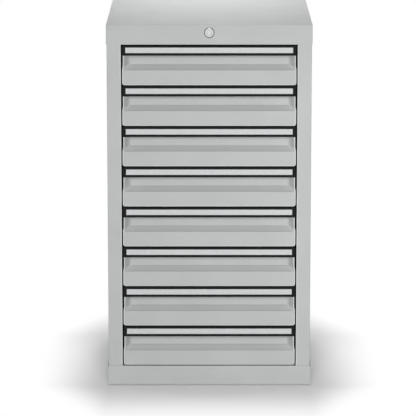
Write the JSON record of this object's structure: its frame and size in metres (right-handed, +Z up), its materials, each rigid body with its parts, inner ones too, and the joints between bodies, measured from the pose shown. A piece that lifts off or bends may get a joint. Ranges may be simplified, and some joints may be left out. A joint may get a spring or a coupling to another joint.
{
  "type": "industrial drawer cabinet",
  "caption": "Free-standing steel drawer cabinet with equal drawers on roller runners, finger pockets under black handle strips, and one lock in the fascia that blocks them all.",
  "frame": {"origin": "centre of the footprint, on the floor", "axes": "+Z up, the drawer fronts face -Y, +X to the right of someone who stands in front of them"},
  "size_m": [0.502, 0.5033, 0.9],
  "materials": {
    "grey_powder_coat": "light grey powder coat with a fine texture",
    "black_plastic": "black moulded plastic",
    "label_strip": "blank light label strip under a clear film",
    "zinc_plated_steel": "zinc-plated sheet",
    "nickel": "satin nickel"
  },
  "bodies": {
    "housing": {"top_cover": "grey_powder_coat", "side_panel_left": "grey_powder_coat", "side_panel_right": "grey_powder_coat", "back_panel": "grey_powder_coat", "base_plinth": "grey_powder_coat", "runner_frame_left": "zinc_plated_steel", "runner_frame_right": "zinc_plated_steel", "lock_housing": "nickel"},
    "lock_cylinder": {"lock_plug": "nickel", "lock_cam": "zinc_plated_steel"},
    "lock_link": {"lock_link_bar": "zinc_plated_steel", "locking_bar": "zinc_plated_steel"},
    "drawer_1": {"drawer_1_front": "grey_powder_coat", "drawer_1_box": "grey_powder_coat", "drawer_1_handle": "black_plastic", "drawer_1_label": "label_strip"},
    "drawer_2": {"drawer_2_front": "grey_powder_coat", "drawer_2_box": "grey_powder_coat", "drawer_2_handle": "black_plastic", "drawer_2_label": "label_strip"},
    "drawer_3": {"drawer_3_front": "grey_powder_coat", "drawer_3_box": "grey_powder_coat", "drawer_3_handle": "black_plastic", "drawer_3_label": "label_strip"},
    "drawer_4": {"drawer_4_front": "grey_powder_coat", "drawer_4_box": "grey_powder_coat", "drawer_4_handle": "black_plastic", "drawer_4_label": "label_strip"},
    "drawer_5": {"drawer_5_front": "grey_powder_coat", "drawer_5_box": "grey_powder_coat", "drawer_5_handle": "black_plastic", "drawer_5_label": "label_strip"},
    "drawer_6": {"drawer_6_front": "grey_powder_coat", "drawer_6_box": "grey_powder_coat", "drawer_6_handle": "black_plastic", "drawer_6_label": "label_strip"},
    "drawer_7": {"drawer_7_front": "grey_powder_coat", "drawer_7_box": "grey_powder_coat", "drawer_7_handle": "black_plastic", "drawer_7_label": "label_strip"},
    "drawer_8": {"drawer_8_front": "grey_powder_coat", "drawer_8_box": "grey_powder_coat", "drawer_8_handle": "black_plastic", "drawer_8_label": "label_strip"},
    "carriage_1": {"drawer_1_carriage_left": "zinc_plated_steel", "drawer_1_carriage_right": "zinc_plated_steel"},
    "carriage_2": {"drawer_2_carriage_left": "zinc_plated_steel", "drawer_2_carriage_right": "zinc_plated_steel"},
    "carriage_3": {"drawer_3_carriage_left": "zinc_plated_steel", "drawer_3_carriage_right": "zinc_plated_steel"},
    "carriage_4": {"drawer_4_carriage_left": "zinc_plated_steel", "drawer_4_carriage_right": "zinc_plated_steel"},
    "carriage_5": {"drawer_5_carriage_left": "zinc_plated_steel", "drawer_5_carriage_right": "zinc_plated_steel"},
    "carriage_6": {"drawer_6_carriage_left": "zinc_plated_steel", "drawer_6_carriage_right": "zinc_plated_steel"},
    "carriage_7": {"drawer_7_carriage_left": "zinc_plated_steel", "drawer_7_carriage_right": "zinc_plated_steel"},
    "carriage_8": {"drawer_8_carriage_left": "zinc_plated_steel", "drawer_8_carriage_right": "zinc_plated_steel"}
  },
  "joints": [
    {"name": "drawer_1_slide", "type": "slide", "parent": "housing", "child": "drawer_1", "axis": [0, -1, 0], "range_m": [0, 0.4]},
    {"name": "drawer_2_slide", "type": "slide", "parent": "housing", "child": "drawer_2", "axis": [0, -1, 0], "range_m": [0, 0.4]},
    {"name": "drawer_3_slide", "type": "slide", "parent": "housing", "child": "drawer_3", "axis": [0, -1, 0], "range_m": [0, 0.4]},
    {"name": "drawer_4_slide", "type": "slide", "parent": "housing", "child": "drawer_4", "axis": [0, -1, 0], "range_m": [0, 0.4]},
    {"name": "drawer_5_slide", "type": "slide", "parent": "housing", "child": "drawer_5", "axis": [0, -1, 0], "range_m": [0, 0.4]},
    {"name": "drawer_6_slide", "type": "slide", "parent": "housing", "child": "drawer_6", "axis": [0, -1, 0], "range_m": [0, 0.4]},
    {"name": "drawer_7_slide", "type": "slide", "parent": "housing", "child": "drawer_7", "axis": [0, -1, 0], "range_m": [0, 0.4]},
    {"name": "drawer_8_slide", "type": "slide", "parent": "housing", "child": "drawer_8", "axis": [0, -1, 0], "range_m": [0, 0.4]},
    {"name": "carriage_1_slide", "type": "slide", "parent": "housing", "child": "carriage_1", "axis": [0, -1, 0], "range_m": [0, 0.2]},
    {"name": "carriage_2_slide", "type": "slide", "parent": "housing", "child": "carriage_2", "axis": [0, -1, 0], "range_m": [0, 0.2]},
    {"name": "carriage_3_slide", "type": "slide", "parent": "housing", "child": "carriage_3", "axis": [0, -1, 0], "range_m": [0, 0.2]},
    {"name": "carriage_4_slide", "type": "slide", "parent": "housing", "child": "carriage_4", "axis": [0, -1, 0], "range_m": [0, 0.2]},
    {"name": "carriage_5_slide", "type": "slide", "parent": "housing", "child": "carriage_5", "axis": [0, -1, 0], "range_m": [0, 0.2]},
    {"name": "carriage_6_slide", "type": "slide", "parent": "housing", "child": "carriage_6", "axis": [0, -1, 0], "range_m": [0, 0.2]},
    {"name": "carriage_7_slide", "type": "slide", "parent": "housing", "child": "carriage_7", "axis": [0, -1, 0], "range_m": [0, 0.2]},
    {"name": "carriage_8_slide", "type": "slide", "parent": "housing", "child": "carriage_8", "axis": [0, -1, 0], "range_m": [0, 0.2]},
    {"name": "lock_turn", "type": "hinge", "parent": "housing", "child": "lock_cylinder", "pos_m": [0, -0.2487, 0.881], "axis": [0, 1, 0], "range_deg": [0, 90]},
    {"name": "lock_link_slide", "type": "slide", "parent": "housing", "child": "lock_link", "axis": [-1, 0, 0], "range_m": [0, 0.0078]}
  ],
  "couplings": [
    {"joint": "carriage_1_slide", "follows": "drawer_1_slide", "ratio": 0.5},
    {"joint": "carriage_2_slide", "follows": "drawer_2_slide", "ratio": 0.5},
    {"joint": "carriage_3_slide", "follows": "drawer_3_slide", "ratio": 0.5},
    {"joint": "carriage_4_slide", "follows": "drawer_4_slide", "ratio": 0.5},
    {"joint": "carriage_5_slide", "follows": "drawer_5_slide", "ratio": 0.5},
    {"joint": "carriage_6_slide", "follows": "drawer_6_slide", "ratio": 0.5},
    {"joint": "carriage_7_slide", "follows": "drawer_7_slide", "ratio": 0.5},
    {"joint": "carriage_8_slide", "follows": "drawer_8_slide", "ratio": 0.5},
    {"joint": "lock_turn", "follows": "lock_link_slide", "rad_per_m": 201.38}
  ]
}
